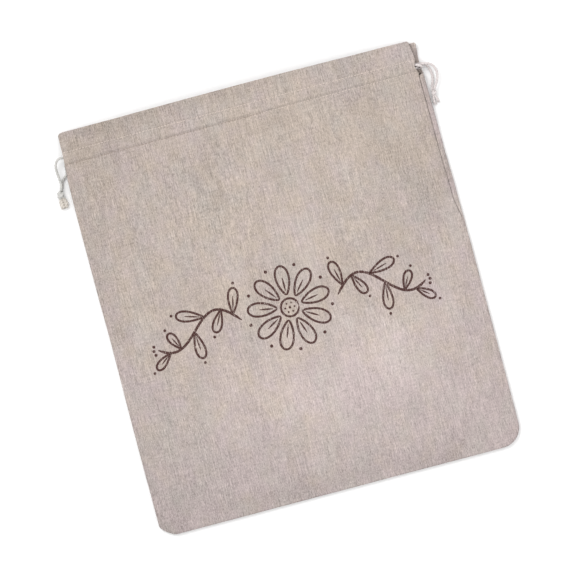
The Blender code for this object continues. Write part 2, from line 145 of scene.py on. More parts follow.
# The raised layer's height over the flat one, at a distance down from the fold
Rise = namedtuple("Rise", "along rise inset")
UPPER_STITCH = 20.8 * MM
LOWER_STITCH = HEADER + TUNNEL
RISES = (
    Rise(2.6 * MM, PRESSED, 0.2 * MM),
    Rise(10.0 * MM, 1.8 * MM, 0.6 * MM),
    Rise(UPPER_STITCH, PRESSED, 3.0 * MM),
    Rise(UPPER_STITCH + 3.2 * MM, TUNNEL_RISE, 8.0 * MM),
    Rise(LOWER_STITCH - 3.2 * MM, TUNNEL_RISE, 8.0 * MM),
    Rise(LOWER_STITCH, PRESSED, 9.0 * MM),
)

# How far both layers of the front's mouth are lifted at its stitched lines, so that the tunnel bulges both ways
Lift = namedtuple("Lift", "along rise")
LIFTS = (
    Lift(0.0 * MM, 0.3 * MM),
    Lift(10.0 * MM, 0.9 * MM),
    Lift(UPPER_STITCH, 1.7 * MM),
    Lift(UPPER_STITCH + 3.4 * MM, 0.0),
    Lift(LOWER_STITCH - 3.8 * MM, 0.0),
    Lift(LOWER_STITCH, 1.8 * MM),
)
LIFT_BELOW = 26.0 * MM

# The dents along the stitched lines: distance below the mouth, depth and width
Dent = namedtuple("Dent", "down depth width")
DENTS = (Dent(UPPER_STITCH, 0.42 * MM, 1.5 * MM), Dent(LOWER_STITCH, 0.36 * MM, 1.7 * MM))
RIDGE = Dent(LOWER_STITCH + 2.5 * MM, -0.14 * MM, 1.5 * MM)
DENT_FADE_FROM = -5.0 * MM
DENT_FADE_TO = 42.0 * MM
DENT_RIGHT_SHARE = 0.22

# A seam's turned-in lip: distance from the seam and how deep it goes inside
Lip = namedtuple("Lip", "offset sink")
LIPS = (
    Lip(0.42 * MM, 1.7 * MM),
    Lip(0.43 * MM, 0.95 * MM),
    Lip(0.52 * MM, 0.24 * MM),
    Lip(0.86 * MM, 0.07 * MM),
    Lip(1.6 * MM, 0.02 * MM),
    Lip(2.4 * MM, 0.0),
)

# Lanes of the two cords in each tunnel, and their free ends from the knot to the tunnel's mouth
LANE_SHIFT = -1.1 * MM
UPPER_LANE = HALF_LENGTH - HEADER - TUNNEL / 2 + 2.0 * MM + LANE_SHIFT
LOWER_LANE = HALF_LENGTH - HEADER - TUNNEL / 2 - 2.0 * MM + LANE_SHIFT
LEFT_OVER = (
    (-185.45, 144.25, 4.55),
    (-183.9, 148.8, 4.4),
    (-183.9, 153.4, 4.7),
    (-184.3, 158.4, 5.4),
    (-184.6, 163.4, 6.3),
    (-184.2, 168.2, 7.4),
    (-182.2, 172.0, 8.2),
    (-178.7, 174.0, 8.6),
    (-174.4, 173.5, 8.64),
    (-170.5, 173.9, 8.64),
)
LEFT_UNDER = (
    (-184.9, 143.6, 2.0),
    (-183.5, 147.6, 1.6),
    (-182.3, 151.6, 1.5),
    (-179.9, 154.9, 1.5),
    (-177.0, 157.3, 1.5),
    (-175.9, 160.4, 1.5),
    (-175.5, 164.0, 1.55),
    (-175.1, 167.3, 2.0),
    (-173.4, 169.4, 2.6),
    (-169.6, 170.05, 2.72),
)
RIGHT_OVER = (
    (180.9, 146.1, 4.4),
    (182.9, 149.4, 4.4),
    (185.6, 153.7, 4.7),
    (187.3, 158.4, 5.3),
    (187.6, 163.4, 6.0),
    (185.9, 168.3, 6.7),
    (182.0, 171.5, 7.1),
    (178.0, 172.8, 6.9),
    (174.2, 172.9, 6.6),
    (171.3, 171.5, 6.7),
    (169.3, 170.4, 7.9),
)
RIGHT_UNDER = (
    (179.5, 146.2, 2.2),
    (180.4, 150.4, 1.5),
    (182.1, 155.2, 1.5),
    (183.0, 159.8, 1.5),
    (182.7, 163.8, 1.5),
    (181.6, 167.8, 1.6),
    (179.9, 170.8, 2.1),
    (177.3, 172.7, 2.6),
    (173.0, 174.05, 2.72),
)

# The left cord's turn at the right end crosses over the right cord's free strand
RIGHT_TURN = (
    (168.6, 173.8, 9.2),
    (170.8, 173.1, 10.2),
    (173.0, 172.0, 10.4),
    (174.8, 170.8, 9.2),
    (174.9, 170.0, 6.9),
    (173.8, 169.8, 4.6),
    (172.0, 169.9, 3.3),
    (170.0, 170.0, 2.9),
)
TURN_ANGLES = (0, 30, 60, 90, 120, 150, 180)
LEFT_TURN = -169.4 * MM
TUNNEL_POINTS = (-167, -158, -139.5, -110, -72, -36, 0, 36, 72, 110, 139.5, 158, 167)
CORD_RADIUS = 1.3 * MM
CORD_STEP = 0.8 * MM
CORD_PLIES = 3
CORD_TWIST = 8.5 * MM
CORD_SECTION = 18

# Each knot: its middle, the way its strands enter, its size, and its tails as points with a thickness
Knot = namedtuple("Knot", "side middle heading size tails")
KNOTS = (
    Knot(
        "left",
        (-187.0, 140.4, 3.6),
        62,
        1.14,
        (
            ((-187.4, 138.4, 2.6, 1.4), (-187.8, 135.0, 2.5, 2.1), (-187.9, 131.2, 2.4, 2.4), (-187.7, 127.6, 2.3, 2.1)),
            ((-185.8, 138.2, 2.8, 1.4), (-184.6, 134.8, 2.5, 2.1), (-183.9, 131.6, 2.4, 2.4), (-184.7, 128.0, 2.3, 2.1)),
        ),
    ),
    Knot(
        "right",
        (180.2, 143.9, 3.1),
        58,
        0.82,
        (
            ((180.0, 142.4, 2.4, 1.1), (181.1, 139.6, 1.8, 1.2), (181.9, 137.0, 1.5, 1.3), (182.1, 134.8, 1.5, 1.3)),
            ((179.3, 142.2, 2.3, 1.1), (178.6, 138.8, 1.7, 1.2), (178.5, 135.8, 1.5, 1.3), (178.9, 133.2, 1.5, 1.3)),
        ),
    ),
)

# Soft swells of the front cloth: middle, reach and height
Swell = namedtuple("Swell", "across along reach_x reach_y height")
SWELLS = (
    Swell(-35.0 * MM, -92.0 * MM, 90.0 * MM, 70.0 * MM, 0.9 * MM),
    Swell(88.0 * MM, -78.0 * MM, 75.0 * MM, 60.0 * MM, 0.8 * MM),
    Swell(-105.0 * MM, 40.0 * MM, 70.0 * MM, 90.0 * MM, -0.8 * MM),
    Swell(30.0 * MM, 105.0 * MM, 60.0 * MM, 55.0 * MM, 0.7 * MM),
    Swell(115.0 * MM, 75.0 * MM, 60.0 * MM, 70.0 * MM, -0.9 * MM),
)

# Unevenness of the cloth as laid: size of its features and height
Uneven = namedtuple("Uneven", "across along height seed")
UNEVEN = (
    Uneven(58.0 * MM, 84.0 * MM, 0.9 * MM, 3.1),
    Uneven(21.0 * MM, 33.0 * MM, 0.26 * MM, 8.7),
    Uneven(9.0 * MM, 15.0 * MM, 0.07 * MM, 15.3),
)
TUNNEL_FOLDS = Uneven(17.0 * MM, 160.0 * MM, 0.42 * MM, 21.9)
PUCKERS = Uneven(8.0 * MM, 22.0 * MM, 0.20 * MM, 33.3)
PUCKER_REACH = 9.0 * MM

# Stitching
STITCH_PITCH = 3.1 * MM
STITCH = 2.2 * MM
THREAD = 0.25 * MM
STITCH_FROM = -173.2 * MM
STITCH_TO = 167.8 * MM

# The camera looks straight down; the picture is 576 pixels wide at 0.949 mm a pixel
PIXEL = 0.949 * MM
PICTURE = 576
CAMERA_HEIGHT = 4.0
CAMERA_TURN = math.radians(-14.85)
CAMERA_AT = (-1.057 * MM, 0.084 * MM)

FRONT = 1
BACK = -1


def smooth(value, start, stop):
    share = min(1.0, max(0.0, (value - start) / (stop - start)))
    return share * share * (3 - 2 * share)


def mix(a, b, share):
    return a + (b - a) * share


def read_table(rows, along, column):
    """A column of a table at a place along the bag, eased between the rows."""
    if along <= rows[0].along:
        return getattr(rows[0], column)
    for low, high in zip(rows, rows[1:]):
        if along <= high.along:
            share = smooth(along, low.along, high.along)
            return mix(getattr(low, column), getattr(high, column), share)
    return getattr(rows[-1], column)


def outline(side, along):
    if side < 0:
        return read_table(OUTLINE, along, "left") + HALF_CLOTH
    return read_table(OUTLINE, along, "right") - HALF_CLOTH


def flat_edge(panel, side, along):
    if panel == FRONT and side > 0:
        return read_table(FRONT_RIGHT, along, "across")
    if panel == BACK and side < 0:
        return read_table(BACK_LEFT, along, "across")
    return outline(side, along)


def edge_heights(side, along):
    lift = smooth(along, LIFT_FROM, LIFT_TO) * LEFT_EDGE_LIFT if side < 0 else 0.0
    top = mix(EDGE_TOP, NECK_TOP, smooth(along, NECK_FROM, NECK_TO))
    return HALF_CLOTH + lift, top


def roll_size(side, along):
    low, top = edge_heights(side, along)
    half_height = (top - low) / 2
    depth = min(ROLL_DEPTH_MOST, half_height * ROLL_DEPTH_SHARE)
    return depth, math.pi / 2 * math.sqrt((depth * depth + half_height * half_height) / 2)


def roll_point(step, sink, depth, quarter):
    """Distance inwards and height share at a length along the rolled edge, and the drop of a lip turned inside."""
    turn = min(1.0, max(-1.0, step / quarter)) * math.pi / 2
    inwards = depth * (1 - math.cos(turn)) + max(0.0, abs(step) - quarter)
    return inwards + sink * math.cos(turn), math.sin(turn), sink * math.sin(turn)


def seam_place(side, along):
    if side < 0:
        return 0.0
    depth, quarter = roll_size(side, along)
    return (quarter + SEAM_INSET - depth) * smooth(along, INSET_FROM, INSET_TO)


def edge_steps(panel, seam, depth, quarter):
    """Lengths along the rolled edge with the depth of the seam's lip, from the seam inwards."""
    root = panel * (quarter + ROOT - depth)
    pairs = [(seam + panel * lip.offset, lip.sink) for lip in LIPS]

    def weigh(step):
        return step + ROLL_WEIGHT * min(quarter, max(-quarter, step))

    def unweigh(weight):
        turned = quarter * (1 + ROLL_WEIGHT)
        if abs(weight) <= turned:
            return weight / (1 + ROLL_WEIGHT)
        return weight - math.copysign(ROLL_WEIGHT * quarter, weight)

    low, high = weigh(pairs[-1][0]), weigh(root)
    return pairs + [(unweigh(mix(low, high, step / EDGE_STEPS)), 0.0) for step in range(1, EDGE_STEPS + 1)]


def step_shares(panel, side, along):
    """How far each column of the edge lies between the sheet's edge and the root of its roll."""
    depth, quarter = roll_size(side, along)
    steps = [step for step, _ in edge_steps(panel, seam_place(side, along), depth, quarter)]
    return [(step - steps[0]) / (steps[-1] - steps[0]) for step in steps]


def crown_share(across, along):
    side = 1 if across > 0 else -1
    reach = abs(outline(side, along)) - roll_size(side, along)[0]
    over = max(0.0, 1 - (abs(across) / reach) ** PILLOW_POWER)
    bottom = HALF_LENGTH - HALF_CLOTH - roll_size(1, -HALF_LENGTH)[0]
    down = max(0.0, (PILLOW_MIDDLE - along) / (PILLOW_MIDDLE + bottom))
    return over * max(0.0, 1 - down**PILLOW_POWER)


def swell(across, along):
    total = 0.0
    for hill in SWELLS:
        far = ((across - hill.across) / hill.reach_x) ** 2 + ((along - hill.along) / hill.reach_y) ** 2
        total += hill.height * math.exp(-2 * far)
    return total


def top_height(across, along):
    side = 1 if across > 0 else -1
    edge = edge_heights(side, along)[1]
    crown = mix(LOFT, NECK_CROWN, smooth(along, NECK_FROM, NECK_TO))
    share = crown_share(across, along)
    soft = swell(across, along) * (1 - smooth(along, NECK_FROM, NECK_TO))
    lower = HALF_LENGTH - HEADER - TUNNEL
    lift = LIFTS[-1].rise * smooth(along, lower - LIFT_BELOW, lower)
    return edge + (crown - edge + soft) * share + lift


def bottom_height(side, inwards, along):
    low = edge_heights(side, along)[0]
    return mix(low, HALF_CLOTH, smooth(inwards, 0.35 * LIFT_RAMP, LIFT_RAMP))


def round_corner(side, inwards, up):
    corner = BOTTOM_LEFT if side < 0 else BOTTOM_RIGHT
    p = 1 - inwards / corner.across
    q = 1 - up / corner.along
    if p <= 0 or q <= 0:
        return inwards, up
    pull = max(p, q) / (p**corner.power + q**corner.power) ** (1 / corner.power)
    return corner.across * (1 - p * pull), corner.along * (1 - q * pull)


def open_edge(rolled, panel, side, along, opened, shares):
    """A rolled edge part of the way to lying flat, kept as far out as the bag's outline."""
    root = outline(side, along) - side * ROOT
    flat = [mix(flat_edge(panel, side, along), root, share) for share in shares]
    points = []
    for (across, y, z), flat_x in zip(rolled, flat):
        flat_z = top_height(flat_x, along) if panel == FRONT else HALF_CLOTH
        points.append((mix(across, flat_x, opened), y, mix(z, flat_z, opened)))
    wanted = mix(max(abs(point[0] - root) for point in rolled), abs(flat[0] - root), opened)
    factor = wanted / max(abs(point[0] - root) for point in points)
    return [(root + (across - root) * factor, y, z) for across, y, z in points]


def body_points(panel, up, up_share, sink):
    """The columns of a row of the single layer, as points."""
    along = up + HALF_CLOTH - HALF_LENGTH
    opened = smooth(along, OPEN_FROM, OPEN_TO)
    sides = {}
    for side in (-1, 1):
        depth, quarter = roll_size(side, along)
        steps = edge_steps(panel, seam_place(side, along), depth, quarter)
        shares = step_shares(panel, side, OPEN_TO)
        points = []
        for step, lip in steps:
            inwards, share, drop = roll_point(step, lip, depth, quarter)
            if up_share is not None:
                share = min(share, up_share) if panel == FRONT else max(share, up_share)
                drop = sink * up_share if abs(up_share) < 1 or sink else drop
            inner, rise = round_corner(side, inwards, up)
            across = outline(side, along) - side * inner
            y = rise + HALF_CLOTH - HALF_LENGTH
            low, high = bottom_height(side, inwards, along), top_height(across, y)
            z = mix(low, high, (share + 1) / 2) - drop
            points.append((across, y, z))
        if opened:
            points = open_edge(points, panel, side, along, opened, shares)
        sides[side] = points
    middle = []
    for step in range(1, MIDDLE_STEPS):
        across = mix(outline(-1, along) + ROOT, outline(1, along) - ROOT, step / MIDDLE_STEPS)
        side = 1 if across > 0 else -1
        inner, rise = round_corner(side, abs(outline(side, along) - across), up)
        across = outline(side, along) - side * inner
        y = rise + HALF_CLOTH - HALF_LENGTH
        high = top_height(across, y)
        share = (1 if panel == FRONT else -1) if up_share is None else up_share
        middle.append((across, y, mix(HALF_CLOTH, high, (share + 1) / 2) - sink * share))
    return sides[-1] + middle + sides[1][::-1]


def mouth_line(panel, across):
    line = HALF_LENGTH
    corner = HEADER_CORNER
    if panel == BACK:
        line -= mix(BACK_SHORT_LEFT, BACK_SHORT_RIGHT, (across / HALF_WIDTH + 1) / 2)
        corner = BACK_CORNER
    else:
        line -= mix(FRONT_SHORT_MIDDLE, FRONT_SHORT_SIDE, abs(across / HALF_WIDTH))
    for side in (-1, 1):
        reach = corner - abs(flat_edge(panel, side, HALF_LENGTH) - across)
        if reach > 0 and across * side > 0:
            line -= corner - math.sqrt(max(0.0, corner * corner - reach * reach))
    return line


def stack_height(panel, across, down):
    if panel == BACK:
        return 0.0
    share = crown_share(across, HALF_LENGTH - HEADER - TUNNEL)
    drop = mix(HEADER_DROP_SIDE, HEADER_DROP_MIDDLE, share) * (1 - smooth(down, 0, HEADER))
    return FRONT_BASE + MOUTH_RISE * share - drop


def mouth_points(panel, down, height, inset):
    along = HALF_LENGTH - down
    edges = {}
    for side in (-1, 1):
        edge = flat_edge(panel, side, along) - side * inset
        root = outline(side, along) - side * ROOT
        edges[side] = [mix(edge, root, share) for share in step_shares(panel, side, OPEN_TO)]
    left, right = edges[-1], edges[1]
    middle = [mix(left[-1], right[-1], step / MIDDLE_STEPS) for step in range(1, MIDDLE_STEPS)]
    points = []
    for across in left + middle + right[::-1]:
        short = (HALF_LENGTH - mouth_line(panel, across)) * max(0.0, 1 - down / HEADER)
        z = stack_height(panel, across, down) + height
        if panel == BACK:
            z += BACK_EDGE_LIFT * smooth(across, BACK_LIFT_FROM, HALF_WIDTH) * (1 - smooth(down, 0.3 * HEADER, HEADER))
        points.append((across, along - short, z))
    return points


def spaced(start, stop, step):
    """Even places from start to stop, both included, about a step apart."""
    pieces = max(1, round(abs(stop - start) / step))
    return [mix(start, stop, piece / pieces) for piece in range(pieces + 1)]


def sheet_rows(panel):
    """All rows of a sheet, each with how much of the cloth's unevenness it takes."""
    depth, quarter = roll_size(1, -HALF_LENGTH)
    rows = []
    for number, (step, lip) in enumerate(edge_steps(panel, 0.0, depth, quarter)):
        up, share, _ = roll_point(step, lip, depth, quarter)
        rows.append((body_points(panel, up, share, lip), number / (EDGE_STEPS + len(LIPS))))
    top = OPEN_FROM + HALF_LENGTH
    for up in spaced(ROOT, top, (top - ROOT) / BODY_STEPS)[1:]:
        rows.append((body_points(panel, up, None, 0.0), 1.0))
    for step in range(1, OPEN_STEPS):
        along = mix(OPEN_FROM + HALF_CLOTH, OPEN_TO, step / OPEN_STEPS)
        rows.append((body_points(panel, along - HALF_CLOTH + HALF_LENGTH, None, 0.0), 1.0))
    downs = spaced(LOWER_STITCH, UPPER_STITCH - 3 * MM, MOUTH_STEP)
    downs += spaced(UPPER_STITCH - 3 * MM, RISES[0].along, HEADER_STEP)[1:]
    raised = [(down, HALF_CLOTH + read_table(RISES, down, "rise"), read_table(RISES, down, "inset")) for down in downs]
    flat = [(down, HALF_CLOTH, inset) for down, _, inset in raised]
    if panel == FRONT:
        raised = [(down, height + read_table(LIFTS, down, "rise"), inset) for down, height, inset in raised]
        flat = [(down, height + read_table(LIFTS, down, "rise"), inset) for down, height, inset in flat]
    outer, inner = (raised, flat) if panel == FRONT else (flat, raised)
    rows += [(mouth_points(panel, down, height, 0.0), 1.0 if panel == FRONT else 0.2) for down, height, _ in outer]
    radius = PRESSED / 2
    for step in range(1, FOLD_STEPS):
        turn = mix(math.pi / 2, -math.pi / 2, step / FOLD_STEPS) * panel
        down = HALF_CLOTH + radius * (1 - math.cos(turn))
        height = HALF_CLOTH + radius * (1 + math.sin(turn))
        if panel == FRONT:
            height += read_table(LIFTS, down, "rise")
        rows.append((mouth_points(panel, down, height, 0.0), 0.4))
    rows += [(mouth_points(panel, down, height, inset), 0.2) for down, height, inset in reversed(inner)]
    end_height, end_inset = inner[0][1], inner[0][2] + 1.5 * MM
    for down in spaced(HEADER + TUNNEL, HEM_END, HEADER_STEP)[1:]:
        rows.append((mouth_points(panel, down, end_height, end_inset), 0.2))
    return rows


def bumps(across, along, kind):
    place = Vector((across / kind.across, along / kind.along, kind.seed))
    return kind.height * noise.noise(place)


def unevenness(across, along):
    """Height of the cloth's unevenness as laid, along its normal."""
    total = sum(bumps(across, along, kind) for kind in UNEVEN)
    lower = HALF_LENGTH - HEADER - TUNNEL
    folds = smooth(along, 20 * MM, lower - 8 * MM) * (1 - smooth(along, lower - 3 * MM, lower))
    deep = mix(1.0, DENT_RIGHT_SHARE, smooth(across, DENT_FADE_FROM, DENT_FADE_TO))
    total += folds * bumps(across, along, TUNNEL_FOLDS)
    for dent in DENTS:
        off = along - (HALF_LENGTH - dent.down)
        total += math.exp(-((off / PUCKER_REACH) ** 2)) * bumps(across, along, PUCKERS)
    for dent in (*DENTS, RIDGE):
        off = along - (HALF_LENGTH - dent.down)
        total -= math.exp(-((off / dent.width) ** 2)) * dent.depth * deep
    return total


def cloth_sheet(name, panel, materials):
    """A sheet of cloth with its unevenness and its thickness."""
    rows = sheet_rows(panel)
    columns = len(rows[0][0])
    build = bmesh.new()
    verts = [[build.verts.new(point) for point in points] for points, _ in rows]
    for below, above in zip(verts, verts[1:]):
        for left in range(columns - 1):
            corners = [below[left], below[left + 1], above[left + 1], above[left]]
            build.faces.new(corners if panel == FRONT else corners[::-1])
    build.normal_update()
    moves = []
    for line, (_, weight) in zip(verts, rows):
        for column, vert in enumerate(line):
            edge = min(column, columns - 1 - column) / (EDGE_STEPS + len(LIPS))
            share = weight * smooth(edge, 0.2, 1.0) * (1.0 if panel == FRONT else 0.12)
            moves.append((vert, vert.normal * share * unevenness(vert.co.x, vert.co.y)))
    for vert, move in moves:
        vert.co += move
    mesh = bpy.data.meshes.new(name)
    build.to_mesh(mesh)
    build.free()
    mesh.shade_smooth()
    obj = bpy.data.objects.new(name, mesh)
    bpy.context.scene.collection.objects.link(obj)
    for material in materials:
        obj.data.materials.append(material)
    thick = obj.modifiers.new("Cloth", "SOLIDIFY")
    thick.thickness = THICK
    thick.offset = 0
    thick.use_even_offset = False
    return obj


def smooth_route(points, step=CORD_STEP):
    """Points along a smooth curve through a route's own points."""
    route = [Vector(point) for point in points]
    ends = [2 * route[0] - route[1]] + route + [2 * route[-1] - route[-2]]
    result = [route[0]]
    for before, start, stop, after in zip(ends, ends[1:], ends[2:], ends[3:]):
        length = (stop - start).length
        pieces = max(1, round(length / step))
        for piece in range(1, pieces + 1):
            t = piece / pieces
            bend = start - before, stop - start, after - stop
            slope_in = (bend[0] / bend[0].length + bend[1] / length) * length / 2
            slope_out = (bend[1] / length + bend[2] / bend[2].length) * length / 2
            result.append(
                start * (2 * t**3 - 3 * t**2 + 1)
                + slope_in * (t**3 - 2 * t**2 + t)
                + stop * (3 * t**2 - 2 * t**3)
                + slope_out * (t**3 - t**2)
            )
    return result


def tunnel_height(panel, across):
    return stack_height(panel, across, HEADER + TUNNEL / 2) + BACK_CORD_Z


def turn_round(side, middle, front_lane, back_lane):
    lanes = Vector((0, front_lane - back_lane, FRONT_CORD_Z - BACK_CORD_Z)) / 2
    centre = Vector((middle, (front_lane + back_lane) / 2, (FRONT_CORD_Z + BACK_CORD_Z) / 2))
    points = []
    for angle in TURN_ANGLES:
        turn = math.radians(angle)
        out = Vector((side * lanes.length * math.sin(turn), 0, 0))
        points.append(tuple(centre + lanes * math.cos(turn) + out))
    return points


def in_metres(points):
    return [tuple(value * MM for value in point) for point in points]


def cord_route(side, over, under, turn, front_lane, back_lane):
    across = [place * MM * -side for place in TUNNEL_POINTS]
    front = [(x, front_lane, tunnel_height(FRONT, x)) for x in across]
    back = [(x, back_lane, tunnel_height(BACK, x)) for x in reversed(across)]
    return in_metres(over) + front + turn + back + in_metres(reversed(under))


def ply_radius(angle, radius):
    """Distance from the middle of a cord of round plies to its surface."""
    ply, off = 0.54 * radius, 0.46 * radius
    sector = 2 * math.pi / CORD_PLIES
    lean = (angle + sector / 2) % sector - sector / 2
    return off * math.cos(lean) + math.sqrt(ply * ply - (off * math.sin(lean)) ** 2)


def frames(route):
    """A sideways and an upward direction at each point of a route, without sudden turns."""
    side = None
    result = []
    for number, point in enumerate(route):
        ahead = route[min(number + 1, len(route) - 1)] - route[max(number - 1, 0)]
        ahead.normalize()
        if side is None:
            side = ahead.orthogonal().normalized()
        side = (side - ahead * side.dot(ahead)).normalized()
        result.append((side, ahead.cross(side)))
    return result


def twisted(build, route, radii, section=CORD_SECTION, plies=True):
    """Adds a closed tube of twisted plies along a route."""
    rings = []
    length = 0.0
    for number, (point, (side, up)) in enumerate(zip(route, frames(route))):
        if number:
            length += (point - route[number - 1]).length
        turn = 2 * math.pi * length / CORD_TWIST
        ring = []
        for step in range(section):
            angle = 2 * math.pi * step / section
            far = ply_radius(angle, radii[number]) if plies else radii[number]
            out = side * math.cos(angle + turn) + up * math.sin(angle + turn)
            ring.append(build.verts.new(point + out * far))
        rings.append(ring)
    for below, above in zip(rings, rings[1:]):
        for step in range(section):
            after = (step + 1) % section
            build.faces.new((below[step], below[after], above[after], above[step]))
    build.faces.new(rings[0][::-1])
    build.faces.new(rings[-1])


def finish_mesh(name, build, *materials):
    mesh = bpy.data.meshes.new(name)
    build.to_mesh(mesh)
    build.free()
    mesh.shade_smooth()
    obj = bpy.data.objects.new(name, mesh)
    bpy.context.scene.collection.objects.link(obj)
    for material in materials:
        obj.data.materials.append(material)
    return obj


def cord_piece(name, points, materials):
    """A cord along a route, with one cotton in its left half and one in its right half: a darker shaded copy and a
    lighter lit copy of the same cotton, painted shade and painted light.
    """
    route = smooth_route(points)
    build = bmesh.new()
    twisted(build, route, [CORD_RADIUS] * len(route))
    for face in build.faces:
        face.material_index = int(face.calc_center_median().x > 0)
    return finish_mesh(name, build, *materials), route


def knot_loop(middle, heading, lean, tip, radius, squash):
    """A closed turn of cord round the knot's core."""
    turn = Matrix.Rotation(math.radians(heading), 3, "Z") @ Matrix.Rotation(math.radians(lean), 3, "X")
    turn = turn @ Matrix.Rotation(math.radians(tip), 3, "Y")
    loop = []
    for step in range(41):
        angle = 2 * math.pi * step / 40
        flat = Vector((radius * math.cos(angle), radius * squash * math.sin(angle), 0.35 * MM * math.sin(2 * angle)))
        loop.append(middle + turn @ flat)
    return loop


KnotTurn = namedtuple("KnotTurn", "lean tip radius squash")
KNOT_TURNS = (
    KnotTurn(62, 12, 2.35, 1.0),
    KnotTurn(118, -20, 2.25, 1.05),
    KnotTurn(84, 66, 2.1, 0.95),
)
KNOT_CORE = 2.4 * MM
KNOT_STRAND = 1.25 * MM
FRAY_FIBRES = 22
FRAY_LENGTH = 3.0 * MM
FRAY_RADIUS = 0.15 * MM


def knot_piece(knot, material, frayed):
    """An overhand knot: crossed turns of cord, the two tails and their frayed ends."""
    middle = Vector(knot.middle) * MM
    build = bmesh.new()
    radius = KNOT_CORE * knot.size
    bmesh.ops.create_uvsphere(build, u_segments=20, v_segments=12, radius=radius, matrix=Matrix.Translation(middle))
    for turn in KNOT_TURNS:
        loop = knot_loop(middle, knot.heading, turn.lean, turn.tip, turn.radius * knot.size * MM, turn.squash)
        twisted(build, loop, [KNOT_STRAND * knot.size] * len(loop))
    tied = len(build.faces)
    for number, tail in enumerate(knot.tails):
        route = smooth_route([tuple(value * MM for value in point[:3]) for point in tail], 0.6 * MM)
        widths = [point[3] * MM for point in tail]
        radii = []
        for place in range(len(route)):
            at = place / (len(route) - 1) * (len(widths) - 1)
            low = min(len(widths) - 2, int(at))
            radii.append(mix(widths[low], widths[low + 1], at - low))
        radii[-1] *= 0.6
        twisted(build, route, radii)
        fray(build, route, widths[-1], number + (0 if knot.side == "left" else 7))
    build.faces.ensure_lookup_table()
    for face in build.faces[tied:]:
        face.material_index = 1
    return finish_mesh("knot_" + knot.side + "_detail", build, material, frayed)


def fray(build, route, radius, seed):
    """Loose fibres that fan out of a tail's end."""
    end, ahead = route[-1], (route[-1] - route[-4]).normalized()
    side = ahead.cross(Vector((0, 0, 1))).normalized()
    up = side.cross(ahead)
    for number in range(FRAY_FIBRES):
        spin = 2.4 * number + seed
        out = side * math.cos(spin) + up * math.sin(spin)
        far = math.sqrt((number + 0.5) / FRAY_FIBRES)
        start = end - ahead * 1.2 * MM + out * far * radius * 0.75
        length = FRAY_LENGTH * (0.65 + 0.35 * noise.noise(Vector((number * 3.7, seed * 1.9, 0.4))))
        points = []
        for step in range(6):
            share = step / 5
            curl = noise.noise_vector(Vector((number * 1.7 + seed, share * 1.5, 4.2))) * 0.8 * MM * share
            point = start + ahead * length * share + out * far * 1.2 * MM * share**1.5 + curl
            point.z = max(point.z, 0.25 * MM)
            points.append(point)
        radii = [FRAY_RADIUS * (1 - 0.5 * step / 5) for step in range(6)]
        twisted(build, points, radii, section=5, plies=False)


class Nodes:
    """Adds nodes to a material and links them."""

    def __init__(self, name):
        self.material = bpy.data.materials.new(name)
        self.material.use_nodes = True
        self.tree = self.material.node_tree
        self.shader = self.tree.nodes["Principled BSDF"]

    def add(self, kind, inputs=None, output=0, **settings):
        node = self.tree.nodes.new(kind)
        for key, value in settings.items():
            setattr(node, key, value)
        for key, value in (inputs or {}).items():
            self.put(node.inputs[key], value)
        return node.outputs[output]

    def put(self, socket, value):
        if isinstance(value, bpy.types.NodeSocket):
            self.tree.links.new(value, socket)
        else:
            socket.default_value = value

    def math(self, operation, *values, clamp=False):
        return self.add("ShaderNodeMath", dict(enumerate(values)), operation=operation, use_clamp=clamp)

    def noise(self, place, size, detail=2.0, seed=(0, 0, 0)):
        """Noise from 0 to 1 whose features have a size in millimetres along X, Y and Z."""
        scale = tuple(1000 / value for value in size)
        moved = self.add("ShaderNodeMapping", {"Vector": place, "Scale": scale, "Location": seed})
        return self.add("ShaderNodeTexNoise", {"Vector": moved, "Scale": 1.0, "Detail": detail, "Roughness": 0.5})

    def colour_mix(self, share, low, high):
        inputs = {"Factor": share, 6: low, 7: high}
        return self.add("ShaderNodeMix", inputs, output=2, data_type="RGBA")

    def scaled(self, colour, factor):
        return self.add("ShaderNodeVectorMath", {0: colour, "Scale": factor}, operation="SCALE")


def srgb(red, green, blue):
    """A linear colour from 8-bit picture values."""
    result = []
    for value in (red, green, blue):
        value /= 255
        result.append(value / 12.92 if value <= 0.04045 else ((value + 0.055) / 1.055) ** 2.4)
    return (*result, 1.0)


def bell(n, x, y, patch):
    """1 in the middle of a patch, fading to 0 beyond its reach."""
    over = n.math("MULTIPLY", n.math("SUBTRACT", x, patch.across * MM), 1 / (patch.reach_x * MM))
    up = n.math("MULTIPLY", n.math("SUBTRACT", y, patch.along * MM), 1 / (patch.reach_y * MM))
    far = n.math("ADD", n.math("MULTIPLY", over, over), n.math("MULTIPLY", up, up))
    return n.math("EXPONENT", n.math("MULTIPLY", far, -1.0))


def patches(n, x, y):
    """Painted light and shade on the cloth: 1 with soft lighter and darker patches."""
    value = 1.0
    for patch in PAINTED_LIGHT_PATCHES:
        value = n.math("MULTIPLY_ADD", bell(n, x, y, patch), patch.tone, value)
    return value


